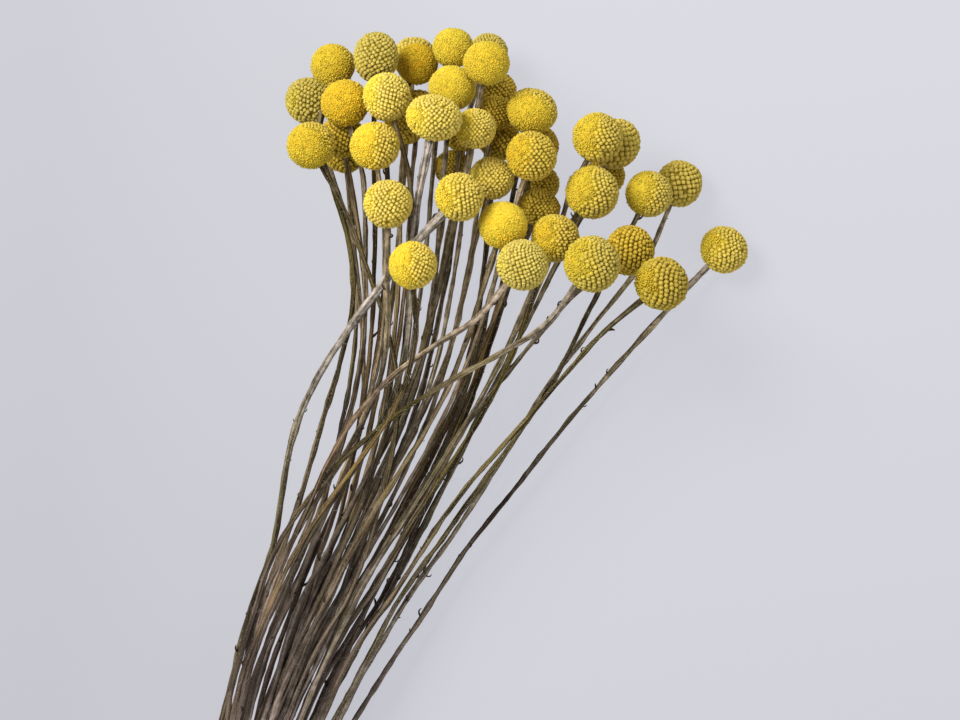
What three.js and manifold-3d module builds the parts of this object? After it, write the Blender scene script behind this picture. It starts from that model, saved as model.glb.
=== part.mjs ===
// A tied bunch of dried billy buttons (Craspedia globosa) lying on its side on a flat surface.
// Each plant is one leafless stem that ends in one globe-shaped flower head, covered in florets.
// The stems cross loosely, draw together below, pass through a twine tie and end in cut ends.
//
// Millimetres, +Z up. The surface is z = 0. The stems run roughly along +Y, heads at the +Y end.
// The origin is the middle of the bunch's footprint on that surface.

import * as THREE from "three";
import { ConvexGeometry } from "three/addons/geometries/ConvexGeometry.js";
import { mergeVertices } from "three/addons/utils/BufferGeometryUtils.js";
import Module from "manifold-3d";

const wasm = await Module();
wasm.setup();

// ---- Driving dimensions ----------------------------------------------------------------------

// One row for each flower head: the centre's x, y and height above the surface, the width across
// the stem's axis, the height along that axis as a share of the width, and the x at which the
// stem passes the two levels below, where the bunch crosses over and where it draws together.
const CROSSING_Y = -10;
const GATHER_Y = -100;
const WAIST_Y = -176; // below it the stems close in on the tie
const HEADS = [
  [-87.3, 132.3, 10.3, 24, 1.05, -65.5, -87.1],
  [-74, 148, 48, 22.7, 1.02, -72, -99],
  [-52, 151.2, 64, 23, 1.2, -56, -78.5],
  [-33, 153.2, 21.8, 23, 1, -50, -76],
  [-31.5, 149, 44.3, 22, 1, -46, -78],
  [-13.5, 156.5, 54.2, 21, 1, -34, -60],
  [4.5, 156.2, 22.7, 20, 1, -25, -62],
  [3.1, 147.8, 75.9, 23.8, 0.97, -32, -78],
  [-67, 128, 72.8, 24.5, 1, -59, -94.3],
  [-46, 130.5, 85.9, 24.5, 1.03, -39, -69.9],
  [-14, 135.9, 63.8, 24, 0.98, -30, -72.7],
  [-31, 126.5, 35.7, 21, 1, -44, -73],
  [-22.5, 119.4, 99, 29, 0.8, -37.5, -91.4],
  [-2.2, 114.8, 84, 21.2, 1, -24, -68],
  [-9, 113.5, 49.1, 19, 1, -33, -71],
  [-84, 106.5, 84, 24.5, 1, -40.5, -59],
  [-69, 112, 54.8, 23, 1, -60.5, -90],
  [-68, 105, 32, 22, 1, -58, -75.6],
  [-52, 106, 89.5, 25.2, 0.99, -51, -87.1],
  [-37.5, 118, 54.3, 21, 1, -45, -71.3],
  [-13.8, 96.8, 40.5, 19, 1, -33, -78],
  [7.5, 124.2, 47.5, 18.5, 1, -18, -60],
  [8.5, 136.7, 16.3, 21, 1, -5, -41],
  [26.1, 124.5, 60.1, 25.8, 0.93, -5, -45],
  [10, 111.5, 31.3, 22, 1, -7, -51],
  [25.5, 101.5, 77.7, 25.8, 1, -9, -57],
  [29.2, 108, 42.2, 22, 1, -2, -42],
  [30.5, 89.5, 23, 20, 1, 0, -39],
  [30, 76.5, 50, 22, 0.9, -6, -54],
  [6, 90.7, 67.3, 23.2, 0.95, -20, -68.4],
  [-10, 80.5, 96, 25, 0.99, -76.5, -104],
  [11.4, 66.8, 85.7, 24.9, 1, -13, -67],
  [-45, 77, 100, 25, 1.01, -48, -100],
  [-33, 46.5, 113, 24.5, 1.01, -35, -95.7],
  [21, 47, 99.3, 26, 1, -42.5, -95],
  [37.5, 60.5, 80.7, 24.6, 1.02, 6, -50],
  [55.5, 47.5, 96.3, 29, 0.99, -6.5, -101.5],
  [74.9, 54.8, 62, 25.3, 1.05, 11.5, -51],
  [90.1, 38.1, 84, 27.7, 0.99, 38, -33],
  [124.4, 56.3, 10.7, 25, 0.98, 62.5, -9.5],
  [56, 83.8, 66, 27.4, 1.02, 10, -47],
  [85.1, 83.5, 46, 24.2, 1, 36.5, -26],
  [101.5, 90, 10.3, 24, 1.06, 34.5, -20],
  [63.5, 93.8, 20.1, 21, 1, 8, -38],
  [59, 111.3, 61.9, 26, 1, 5, -46],
  [68.5, 109.2, 37.9, 25, 1.12, 9, -36],
];

// Points (x, y) that a stem passes on its way down, for the ones that bend in between. Those that
// lie below the upper level replace both levels.
const BENDS = {
  1: [[-75.5, 95], [-65, 69.5], [-63, 47], [-61.5, 30.5]],
  2: [[-80.5, 104], [-69, 74], [-62, 50], [-61, 30], [-65, 12.5], [-72, -8], [-80, -30], [-98, -95]],
  8: [[-1, 132], [-2, 118]],
  9: [[-59.5, 114], [-57, 104]],
  10: [[-39, 111], [-37, 100], [-34, 85.5]],
  13: [[-23.5, 107], [-26, 92.5], [-32.5, 67.5]],
  16: [[-82, 93], [-73, 79], [-64, 58.5], [-54.5, 32], [-47, 10]],
  17: [[-64.5, 84], [-58.5, 52], [-57.5, 18]],
  19: [[-49.5, 94], [-46.5, 64]],
  31: [[-31, 60], [-46, 40], [-64, 17], [-75.5, 1], [-84.5, -13], [-91.5, -28], [-98, -63], [-103, -100]],
  35: [[18.5, 32], [-0.5, 15], [-28, -0.5], [-48.5, -16], [-64, -35], [-95, -100]],
  37: [[42.5, 24], [15.5, 3.5], [-17, -12], [-56.5, -40.5], [-84, -65], [-100, -96]],
  38: [[45, 30], [10, -11.5], [-21.5, -53], [-48, -95]],
  39: [[56, 8], [28, -24.5], [-6, -62], [-33, -100]],
  40: [[93.5, 24], [60.5, -12.5], [30, -50], [-8, -98], [-38, -141]],
  41: [[48, 75], [38, 62], [28, 40]],
  42: [[75.5, 68.5], [57.5, 32], [37, -10], [-26, -100]],
  43: [[95.5, 66.5], [75.5, 36.5], [37, -10], [10, -55], [-20, -98]],
  45: [[52, 100], [45, 86], [42, 72], [36, 50]],
};

// Florets on a head, as relief: low points between them, and how far their tips stand out.
const FLORET_GAPS = 34;
const FLORET_RELIEF = 0.12;

const STEM_RADIUS_LEAST = 1.35;
const STEM_RADIUS_MOST = 1.65;
const STEM_SIDES = 5;
const STEM_STEPS_ABOVE_TIE = 12;
const STEP_CROWDING = 0.75; // under 1, a stem's steps are shorter towards its head
const STEM_NECK = 24; // straight run below a head
const STEM_GROUPS = 13; // stems pressed into one body by the tie
const WAIST_LEFT = -129;
const WAIST_SPREAD = 0.725; // width at the waist as a share of the width where the bunch gathers
const CLEARANCE = 0.45;

// The tie, and the bunch at the tie: stems on a close lattice, squeezed together in each group.
const TIE_CENTRE = new THREE.Vector3(-133, -290, 17.6);
const CUT_END_BELOW_TIE = 74;
const CUT_END_SPREAD = 1.22;
const TIE_LATTICE = 3.8;
const TIE_SQUEEZE = 0.5;
const TWINE_DIAMETER = 2.4;
const TWINE_TURNS = 5;
const TIE_INNER_RADIUS = 15.2;
const TIE_SEGMENTS = 20;

const SETTLE_ROUNDS = 260;
const SEED = 7;

const FLORET_YELLOW = new THREE.MeshStandardMaterial({ color: 0xd9bf2f, roughness: 0.85, metalness: 0 });
const STEM_BROWN = new THREE.MeshStandardMaterial({ color: 0x766553, roughness: 0.9, metalness: 0 });
const TWINE_TAN = new THREE.MeshStandardMaterial({ color: 0xa88a5c, roughness: 0.95, metalness: 0 });

// ---- Helpers ---------------------------------------------------------------------------------

const random = (index, salt) => THREE.MathUtils.seededRandom(SEED + index * 101 + salt * 9973);
const between = (low, high, share) => low + (high - low) * share;
const twoDigits = (number) => String(number).padStart(2, "0");

function solidOf(geometry) {
  const bare = geometry.clone();
  bare.deleteAttribute("normal");
  bare.deleteAttribute("uv");
  const merged = mergeVertices(bare, 1e-3);
  return new wasm.Manifold(
    new wasm.Mesh({
      numProp: 3,
      vertProperties: merged.attributes.position.array,
      triVerts: new Uint32Array(merged.index.array),
    }),
  );
}

function geometryOf(solid) {
  const mesh = solid.getMesh();
  const geometry = new THREE.BufferGeometry()
    .setAttribute("position", new THREE.BufferAttribute(mesh.vertProperties, 3))
    .setIndex(new THREE.BufferAttribute(mesh.triVerts, 1));
  geometry.computeVertexNormals();
  return geometry;
}

// A route that an extrusion follows through its own points, so that each section stands on one.
class Route extends THREE.Curve {
  constructor(points) {
    super();
    this.points = points;
  }

  getPoint(share) {
    const place = share * (this.points.length - 1);
    const index = Math.min(Math.floor(place), this.points.length - 2);
    return this.points[index].clone().lerp(this.points[index + 1], place - index);
  }

  getPointAt(share) {
    return this.getPoint(share);
  }

  getTangentAt(share) {
    const index = Math.round(share * (this.points.length - 1));
    const before = this.points[Math.max(index - 1, 0)];
    const after = this.points[Math.min(index + 1, this.points.length - 1)];
    return after.clone().sub(before).normalize();
  }
}

function regularPolygon(sides, radius) {
  const corners = Array.from({ length: sides }, (_, i) => {
    const turn = (2 * Math.PI * i) / sides;
    return new THREE.Vector2(radius * Math.cos(turn), radius * Math.sin(turn));
  });
  return new THREE.Shape(corners);
}

function tubeAlong(points, radius, sides) {
  return new THREE.ExtrudeGeometry(regularPolygon(sides, radius), {
    steps: points.length - 1,
    bevelEnabled: false,
    extrudePath: new Route(points),
  });
}

// ---- The bunch's layout ----------------------------------------------------------------------

const gatherMiddle = new THREE.Vector3(-62, GATHER_Y, TIE_CENTRE.z);
const tieAxis = gatherMiddle.clone().sub(TIE_CENTRE).setZ(0).normalize(); // towards the heads
const tieAcross = new THREE.Vector3(tieAxis.y, -tieAxis.x, 0);
const tieHalfWidth = (TWINE_DIAMETER * TWINE_TURNS) / 2;

const plants = HEADS.map(([x, y, z, width, tall, crossingX, gatherX], index) => ({
  index,
  centre: new THREE.Vector3(x, y, z),
  width,
  tall,
  reach: (width / 2) * Math.max(1, tall),
  crossingX,
  gatherX,
  stemRadius: between(STEM_RADIUS_LEAST, STEM_RADIUS_MOST, random(index, 1)),
}));

const leftmost = Math.min(...plants.map((plant) => plant.gatherX));

// Height of a stem at a level, on a straight line from the tie to its head.
function heightAt(plant, y) {
  const share = (y - TIE_CENTRE.y) / (plant.centre.y - TIE_CENTRE.y);
  return between(TIE_CENTRE.z, plant.centre.z, share);
}

// The tie's section: the places nearest its middle on a triangular lattice, in upright columns.
function latticePlaces(count) {
  const columnStep = TIE_LATTICE * Math.sin(Math.PI / 3);
  const reach = Math.ceil(Math.sqrt(count));
  const places = [];
  for (let column = -reach; column <= reach; column++)
    for (let row = -reach; row <= reach; row++)
      places.push({
        column,
        across: column * columnStep,
        up: (row + (column % 2 === 0 ? 0 : 0.5)) * TIE_LATTICE,
      });
  places.sort((a, b) => Math.hypot(a.across, a.up + 0.3) - Math.hypot(b.across, b.up + 0.3));
  return places.slice(0, count);
}

// Stems take the lattice's columns from left to right as they lie where the bunch draws together,
// and the rows of a column by height. Columns are read up and down in turn, so that stems that
// follow each other are neighbours, and each run of three or four is one group.
function placeInTie() {
  const places = latticePlaces(plants.length);
  const columns = [...new Set(places.map((place) => place.column))].sort((a, b) => a - b);
  const leftToRight = [...plants].sort((a, b) => a.gatherX - b.gatherX);
  const inOrder = [];
  for (const [turn, column] of columns.entries()) {
    const rows = places.filter((place) => place.column === column).sort((a, b) => a.up - b.up);
    const stems = leftToRight.splice(0, rows.length);
    stems.sort((a, b) => heightAt(a, GATHER_Y) - heightAt(b, GATHER_Y));
    stems.forEach((plant, row) => (plant.place = rows[row]));
    inOrder.push(...(turn % 2 ? stems.reverse() : stems));
  }
  return Array.from({ length: STEM_GROUPS }, (_, group) => {
    const from = Math.round((group * inOrder.length) / STEM_GROUPS);
    const to = Math.round(((group + 1) * inOrder.length) / STEM_GROUPS);
    return inOrder.slice(from, to);
  });
}

function squeezeGroup(group) {
  const middle = (key) => group.reduce((sum, plant) => sum + plant.place[key], 0) / group.length;
  const [across, up] = [middle("across"), middle("up")];
  for (const plant of group)
    plant.squeezed = {
      across: between(across, plant.place.across, TIE_SQUEEZE),
      up: between(up, plant.place.up, TIE_SQUEEZE),
    };
}

function inTieFrame(along, across, up) {
  return TIE_CENTRE.clone()
    .addScaledVector(tieAxis, along)
    .addScaledVector(tieAcross, across)
    .add(new THREE.Vector3(0, 0, up));
}

// A stem's first route: cut end, both sides of the tie, the two levels, and straight to its head.
function firstRoute(plant) {
  const { place, squeezed, centre, index } = plant;
  const cutEnd = inTieFrame(
    -CUT_END_BELOW_TIE * between(0.86, 1.06, random(index, 2)),
    place.across * CUT_END_SPREAD,
    place.up * CUT_END_SPREAD,
  );
  const below = inTieFrame(-tieHalfWidth, squeezed.across, squeezed.up);
  const above = inTieFrame(tieHalfWidth, squeezed.across, squeezed.up);
  const bends = BENDS[index + 1] ?? [];
  const levels = [
    [plant.crossingX, CROSSING_Y],
    [plant.gatherX, GATHER_Y],
  ];
  const passes = bends.some(([, y]) => y < CROSSING_Y) ? [...bends] : [...bends, ...levels];
  passes.push([WAIST_LEFT + (plant.gatherX - leftmost) * WAIST_SPREAD, WAIST_Y]);
  const down = passes.map(([x, y]) => new THREE.Vector3(x, y, heightAt(plant, y)));
  plant.axis = centre.clone().sub(down[0]).normalize();
  const base = centre.clone().addScaledVector(plant.axis, -plant.stemStop);
  if (base.distanceTo(down[0]) > 2 * STEM_NECK)
    down.unshift(base.clone().addScaledVector(plant.axis, -STEM_NECK));
  const upper = new THREE.CatmullRomCurve3([above, ...down.reverse(), base], false, "centripetal");
  const joints = [];
  for (let step = 0; step <= STEM_STEPS_ABOVE_TIE; step++)
    joints.push(upper.getPointAt((step / STEM_STEPS_ABOVE_TIE) ** STEP_CROWDING));
  return [cutEnd, below, ...joints];
}

// ---- Settling: stems are eased apart until none touches another stem, a head or the surface ----

// The shares along two segments at which they come closest.
function closestShares(a0, a1, b0, b1) {
  const along = a1.clone().sub(a0);
  const other = b1.clone().sub(b0);
  const offset = a0.clone().sub(b0);
  const [aa, bb, ab] = [along.lengthSq(), other.lengthSq(), along.dot(other)];
  const [ao, bo] = [along.dot(offset), other.dot(offset)];
  const spread = aa * bb - ab * ab;
  let s = spread > 1e-9 ? THREE.MathUtils.clamp((ab * bo - ao * bb) / spread, 0, 1) : 0;
  let t = (ab * s + bo) / bb;
  if (t < 0) s = THREE.MathUtils.clamp(-ao / aa, 0, 1);
  if (t > 1) s = THREE.MathUtils.clamp((ab - ao) / aa, 0, 1);
  t = THREE.MathUtils.clamp(t, 0, 1);
  return [s, t];
}

const TIE_POINTS = [1, 2]; // both ends of a stem's run through the tie

function push(plant, segment, share, move) {
  const last = plant.route.length - 1;
  const free = (index) => (TIE_POINTS.includes(index) || index === last ? 0 : 1);
  const near = (1 - share) * free(segment);
  const far = share * free(segment + 1);
  const size = Math.max(near * near + far * far, 0.3);
  plant.route[segment].addScaledVector(move, (near * free(segment)) / size);
  plant.route[segment + 1].addScaledVector(move, (far * free(segment + 1)) / size);
}

function partStems(one, two) {
  const need = one.stemRadius + two.stemRadius + CLEARANCE;
  for (let i = 0; i < one.route.length - 1; i++)
    for (let j = 0; j < two.route.length - 1; j++) {
      if (one.group === two.group && i < 3 && j < 3) continue;
      const [a0, a1, b0, b1] = [one.route[i], one.route[i + 1], two.route[j], two.route[j + 1]];
      const [aLow, aHigh] = [Math.min(a0.y, a1.y), Math.max(a0.y, a1.y)];
      if (Math.min(b0.y, b1.y) > aHigh + need || Math.max(b0.y, b1.y) < aLow - need) continue;
      const [s, t] = closestShares(a0, a1, b0, b1);
      const gap = a0.clone().lerp(a1, s).sub(b0.clone().lerp(b1, t));
      const distance = gap.length();
      if (distance >= need) continue;
      if (distance < 0.05) gap.set(0, 0, one.centre.z >= two.centre.z ? 1 : -1);
      gap.normalize().multiplyScalar((need - distance) * 0.5);
      push(one, i, s, gap.clone());
      push(two, j, t, gap.negate());
    }
}

function keepOffHead(plant, head) {
  const need = head.reach + plant.stemRadius + CLEARANCE;
  for (let i = 2; i < plant.route.length - 1; i++) {
    const line = new THREE.Line3(plant.route[i], plant.route[i + 1]);
    const share = line.closestPointToPointParameter(head.centre, true);
    const gap = line.at(share, new THREE.Vector3()).sub(head.centre);
    const distance = gap.length();
    if (distance < need) push(plant, i, share, gap.normalize().multiplyScalar(need - distance));
  }
}

// Spreads what a stem was pushed over its neighbouring points, so that it bends gently.
function easeStem(plant) {
  const moved = plant.route.map((point, i) => point.clone().sub(plant.target[i]));
  for (let i = 3; i < plant.route.length - 1; i++) {
    const mean = moved[i - 1].clone().add(moved[i + 1]).multiplyScalar(0.5);
    plant.route[i].addScaledVector(mean.sub(moved[i]), 0.3);
  }
}

// A head turns about its centre to stand on the end of its stem.
function turnHead(plant) {
  const neck = plant.route.at(-2);
  plant.axis = plant.centre.clone().sub(neck).normalize();
  plant.route.at(-1).copy(plant.centre).addScaledVector(plant.axis, -plant.stemStop);
}

function keepOnSurface(plant) {
  for (const [i, point] of plant.route.entries())
    if (!TIE_POINTS.includes(i)) point.z = Math.max(point.z, plant.stemRadius + 0.02);
}

function settleStems() {
  for (let round = 0; round < SETTLE_ROUNDS; round++) {
    const easing = round < SETTLE_ROUNDS * 0.75;
    if (easing) plants.forEach(easeStem);
    for (const one of plants) for (const two of plants) if (one.index < two.index) partStems(one, two);
    for (const plant of plants) for (const head of plants) if (plant !== head) keepOffHead(plant, head);
    plants.forEach(keepOnSurface);
    plants.forEach(turnHead);
  }
}

// ---- Pieces ----------------------------------------------------------------------------------

// A unit ball of florets: points on a golden-angle spiral are the low places between florets,
// and each triangle between three of them rises to a floret's tip.
function floretBall() {
  const goldenAngle = Math.PI * (3 - Math.sqrt(5));
  const low = Array.from({ length: FLORET_GAPS }, (_, i) => {
    const height = -1 + (2 * i) / (FLORET_GAPS - 1);
    const ring = Math.sqrt(Math.max(0, 1 - height * height));
    return new THREE.Vector3(ring * Math.cos(i * goldenAngle), ring * Math.sin(i * goldenAngle), height);
  });
  const corner = new ConvexGeometry(low).getAttribute("position");
  const faces = [];
  for (let i = 0; i < corner.count; i += 3) {
    const [a, b, c] = [0, 1, 2].map((k) => new THREE.Vector3().fromBufferAttribute(corner, i + k));
    const tip = a.clone().add(b).add(c).normalize();
    for (const point of [a, b, c]) point.multiplyScalar(1 - FLORET_RELIEF);
    faces.push(a, b, tip, b, c, tip, c, a, tip);
  }
  return new THREE.BufferGeometry().setFromPoints(faces);
}

function headGeometry(plant, ball) {
  const turn = new THREE.Quaternion().setFromUnitVectors(new THREE.Vector3(0, 0, 1), plant.axis);
  const spin = new THREE.Quaternion().setFromAxisAngle(
    new THREE.Vector3(0, 0, 1),
    2 * Math.PI * random(plant.index, 3),
  );
  const half = plant.width / 2;
  const place = new THREE.Matrix4().compose(
    plant.centre,
    turn.multiply(spin),
    new THREE.Vector3(half, half, half * plant.tall),
  );
  const head = ball.clone().applyMatrix4(place);
  if (plant.centre.z > half) return mergeVertices(head, 1e-3);
  // A head that the bunch lies on is pressed flat where it meets the surface.
  const below = new THREE.BoxGeometry(80, 80, 20).translate(plant.centre.x, plant.centre.y, -10);
  return geometryOf(solidOf(head).subtract(solidOf(below)));
}

function groupGeometry(group) {
  const stems = group.map((plant) => solidOf(tubeAlong(plant.route, plant.stemRadius, STEM_SIDES)));
  return geometryOf(stems.reduce((whole, stem) => whole.add(stem)));
}

// Turns of twine side by side, knotted on top, with two short ends.
function tieGeometry() {
  const outer = TIE_INNER_RADIUS + TWINE_DIAMETER;
  const profile = [new THREE.Vector2(TIE_INNER_RADIUS, -tieHalfWidth)];
  for (let turn = 0; turn < TWINE_TURNS; turn++) {
    const start = -tieHalfWidth + turn * TWINE_DIAMETER;
    profile.push(new THREE.Vector2(outer - TWINE_DIAMETER * 0.35, start));
    profile.push(new THREE.Vector2(outer, start + TWINE_DIAMETER / 2));
  }
  profile.push(new THREE.Vector2(outer - TWINE_DIAMETER * 0.35, tieHalfWidth));
  profile.push(new THREE.Vector2(TIE_INNER_RADIUS, tieHalfWidth), profile[0].clone());
  const band = new THREE.LatheGeometry(profile, TIE_SEGMENTS);

  const knotHeight = outer + TWINE_DIAMETER * 0.25;
  const knot = new THREE.IcosahedronGeometry(TWINE_DIAMETER * 1.25, 1).scale(1.25, 1.05, 0.85);
  knot.translate(0, 0, knotHeight);
  const end = (side) =>
    tubeAlong(
      [
        new THREE.Vector3(0, 0, knotHeight),
        new THREE.Vector3(side * 4.5, 4 + side, knotHeight + 1.4),
        new THREE.Vector3(side * 8.5, 8 - side * 2, knotHeight - 0.6),
        new THREE.Vector3(side * 11.5, 12.5 + side, knotHeight - 1.6),
      ],
      TWINE_DIAMETER / 2,
      6,
    );
  return geometryOf(
    [knot, end(-1), end(1)].reduce((whole, piece) => whole.add(solidOf(piece)), solidOf(band)),
  );
}

// ---- The bunch -------------------------------------------------------------------------------

const bunch = new THREE.Group();

function addPiece(name, geometry, material) {
  const mesh = new THREE.Mesh(geometry, material);
  mesh.name = name;
  bunch.add(mesh);
  return mesh;
}

for (const plant of plants) plant.stemStop = (plant.width / 2) * plant.tall * 0.93 + 0.3;
const groups = placeInTie();
for (const [number, group] of groups.entries()) {
  squeezeGroup(group);
  for (const plant of group) plant.group = number;
}
for (const plant of plants) {
  plant.route = firstRoute(plant);
  plant.target = plant.route.map((point) => point.clone());
}
settleStems();

const ball = floretBall();
for (const plant of plants)
  addPiece(`flower_head_${twoDigits(plant.index + 1)}`, headGeometry(plant, ball), FLORET_YELLOW);
for (const [number, group] of groups.entries())
  addPiece(`stems_${twoDigits(number + 1)}`, groupGeometry(group), STEM_BROWN);

const tie = addPiece("twine_tie", tieGeometry(), TWINE_TAN);
tie.position.copy(TIE_CENTRE);
tie.rotation.z = Math.atan2(-tieAxis.x, tieAxis.y);

const box = new THREE.Box3().setFromObject(bunch, true);
bunch.position.set(-(box.min.x + box.max.x) / 2, -(box.min.y + box.max.y) / 2, 0);

export default bunch;
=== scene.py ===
# %% [markdown]
# # A tied bunch of dried billy buttons
#
# A billy button is one bare, woolly stem with one ball of tiny florets on its end. This bunch has
# dozens of them. It lies on its side, held near the cut ends by a few turns of twine.
#
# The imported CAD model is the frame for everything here. It already has each head's place and size
# and each stem's route, so this lesson reads them from it and grows the fine detail on top.

# %% Load the frame
import itertools
import math

import bpy
import numpy as np
from mathutils import Matrix, Vector


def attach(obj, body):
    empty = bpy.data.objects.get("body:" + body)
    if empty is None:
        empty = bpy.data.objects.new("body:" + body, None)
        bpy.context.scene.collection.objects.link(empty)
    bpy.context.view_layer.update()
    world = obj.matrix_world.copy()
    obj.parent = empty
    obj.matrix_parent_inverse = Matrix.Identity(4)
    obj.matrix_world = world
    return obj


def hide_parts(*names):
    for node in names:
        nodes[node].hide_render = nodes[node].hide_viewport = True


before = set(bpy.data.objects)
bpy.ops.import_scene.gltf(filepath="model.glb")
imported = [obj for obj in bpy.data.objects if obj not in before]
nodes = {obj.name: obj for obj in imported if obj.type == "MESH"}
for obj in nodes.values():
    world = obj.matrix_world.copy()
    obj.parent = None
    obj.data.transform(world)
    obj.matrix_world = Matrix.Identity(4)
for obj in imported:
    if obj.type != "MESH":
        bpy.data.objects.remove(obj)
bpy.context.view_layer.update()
head_nodes = sorted(name for name in nodes if name.startswith("flower_head"))
stem_nodes = sorted(name for name in nodes if name.startswith("stems"))
print(len(head_nodes), "heads and", len(stem_nodes), "groups of stems in the frame")

# %% [markdown]
# ## The camera
#
# The bunch lies on the floor, so the camera looks straight down at it. A long lens from far away
# keeps a near head and a far head almost the same size, as in a studio picture of flowers. The
# frame ends part-way down the stems: the tie is outside it.

# %% Camera
VIEW_CENTRE = (0.0182, 0.0995)
VIEW_WIDTH = 0.48
VIEW_HEIGHT = 0.06  # the level that the view's width is measured at
LENS = 200.0
FAR_CLIP = 20.0


def new_object(name, data):
    """An object with the given data, in the scene."""
    made = bpy.data.objects.new(name, data)
    bpy.context.scene.collection.objects.link(made)
    return made


camera_data = bpy.data.cameras.new("camera")
camera_data.lens = LENS
camera_data.clip_end = FAR_CLIP
camera = new_object("camera", camera_data)
distance = VIEW_WIDTH * LENS / camera_data.sensor_width
camera.location = (*VIEW_CENTRE, VIEW_HEIGHT + distance)
bpy.context.scene.camera = camera
print(f"camera {distance:.2f} m above the bunch")

# %% [markdown]
# ## Corners of the CAD meshes
#
# A mesh from the CAD model is loose triangles, so its corners are merged in a copy first. After
# that, triangles that meet share their corners, and can be gathered into clusters.

# %% Merged corners of a CAD node
DECIMALS = 5  # corners at the same 0.01 mm are one


def corner_places(mesh):
    """A mesh's corners as rows of x, y and z."""
    places = np.empty(len(mesh.vertices) * 3)
    mesh.vertices.foreach_get("co", places)
    return places.reshape(-1, 3)


def merged_corners(name):
    """The node's corners with doubles merged, and its triangles as rows of corner numbers."""
    mesh = nodes[name].data
    places = corner_places(mesh)
    mesh.calc_loop_triangles()
    triangles = np.empty(len(mesh.loop_triangles) * 3, dtype=int)
    mesh.loop_triangles.foreach_get("vertices", triangles)
    rounded = np.round(places, DECIMALS)
    _, first, same = np.unique(rounded, axis=0, return_index=True, return_inverse=True)
    return places[first], same.reshape(-1)[triangles].reshape(-1, 3)


def clusters(triangles):
    """Sets of corner numbers that the triangles join."""
    found = []
    for triangle in triangles:
        joined = set(triangle.tolist())
        apart = []
        for cluster in found:
            if cluster & joined:
                joined |= cluster
            else:
                apart.append(cluster)
        found = apart + [joined]
    return found


# %% [markdown]
# ## Reading the stems from the frame
#
# Each CAD stem is a five-sided tube, so its corners come in rings of five, and the middle of each
# ring is a point of the stem's centre line. The small triangles that close a tube's end are easy
# to find. From the end at the head, the rings are followed neighbour by neighbour down to the
# tie, where stems run into each other. Below the tie only the cut end's ring is needed.

# %% The tie's place
ON_FLOOR = 1e-4  # corners lower than this rest on the floor
TIE_HALF_LENGTH = 0.006
tie_corners, _ = merged_corners("twine_tie")
tie_foot = tie_corners[tie_corners[:, 2] < ON_FLOOR]
tie_axis = tie_foot[np.argmax(tie_foot[:, 1])] - tie_foot[np.argmin(tie_foot[:, 1])]
tie_axis = Vector(tie_axis).normalized()
tie_across = Vector((tie_axis.y, -tie_axis.x, 0.0))
foot_middle = Vector(tie_foot.mean(axis=0))
across_of_corner = (tie_corners - np.array(foot_middle)) @ np.array(tie_across)
tie_radius = float(np.max(np.abs(across_of_corner)))
tie_centre = foot_middle + Vector((0.0, 0.0, tie_radius))
print(f"tie radius {tie_radius * 1000:.1f} mm at {[round(v, 3) for v in tie_centre]}")

# %% Rings of a group of stems
RING = 5
RING_GROWTH = 1.5  # a ring that is wider than this holds more than one stem
END_TRIANGLE = 0.0045  # the triangles that close a tube have no longer side
TIE_CLEARANCE = 0.03  # no tube ends nearer than this to the tie's middle
CUT_END_SPREAD = 1.22
TIE_SQUEEZE = 0.5


def rings_from(corners, triangles, end):
    """Middles of the rings from a tube's end, stopping where the tube runs into another."""
    neighbours = {}
    for a, b, c in triangles.tolist():
        for one, two in ((a, b), (b, c), (c, a)):
            neighbours.setdefault(one, set()).add(two)
            neighbours.setdefault(two, set()).add(one)
    ring, seen, middles, radii = set(end), set(), [], []
    while len(ring) == RING:
        places = corners[list(ring)]
        middle = places.mean(axis=0)
        spread = np.linalg.norm(places - middle, axis=1)
        if spread.max() > RING_GROWTH * (radii[0] if radii else spread.max()):
            break
        middles.append(Vector(middle))
        radii.append(float(spread.mean()))
        seen |= ring
        ring = {n for corner in ring for n in neighbours[corner]} - seen
    return middles, radii[0]


def tube_ends(corners, triangles):
    """The rings that close tubes: small triangles away from the tie."""
    sides = corners[triangles] - corners[np.roll(triangles, 1, axis=1)]
    small = np.linalg.norm(sides, axis=2).max(axis=1) < END_TRIANGLE
    middles = corners[triangles].mean(axis=1)
    along = (middles - np.array(tie_centre)) @ np.array(tie_axis)
    caps = triangles[small & (np.abs(along) > TIE_CLEARANCE)]
    ends = [cluster for cluster in clusters(caps) if len(cluster) == RING]
    is_upper = [corners[list(end)].mean(axis=0)[1] > tie_centre.y for end in ends]
    upper = [end for end, above in zip(ends, is_upper) if above]
    return upper, [end for end, above in zip(ends, is_upper) if not above]


def tie_places(cut_ends):
    """Where a group's stems pass the tie, from their cut ends: nearer together, and squeezed."""
    offsets = []
    for end in cut_ends:
        away = end - tie_centre
        offsets.append(Vector((away.dot(tie_across), away.z)) / CUT_END_SPREAD)
    middle = sum(offsets, Vector((0.0, 0.0))) / len(offsets)
    squeezed = [middle.lerp(offset, TIE_SQUEEZE) for offset in offsets]
    return [tie_centre + tie_across * s.x + Vector((0.0, 0.0, s.y)) for s in squeezed]


stems = []
for name in stem_nodes:
    corners, triangles = merged_corners(name)
    upper, lower = tube_ends(corners, triangles)
    runs = [rings_from(corners, triangles, end) for end in upper]
    cut_ends = [Vector(corners[list(end)].mean(axis=0)) for end in lower]
    passes = tie_places(cut_ends)
    pairing = min(
        itertools.permutations(range(len(runs))),
        key=lambda order: sum((runs[i][0][-1] - passes[k]).length for i, k in enumerate(order)),
    )
    for (middles, radius), k in zip(runs, pairing):
        half = tie_axis * TIE_HALF_LENGTH
        path = [cut_ends[k], passes[k] - half, passes[k] + half, *middles[::-1]]
        stems.append({"node": name, "path": path, "radius": radius})
print(len(stems), "stems read, with", len(stems[0]["path"]), "points each")

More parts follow.
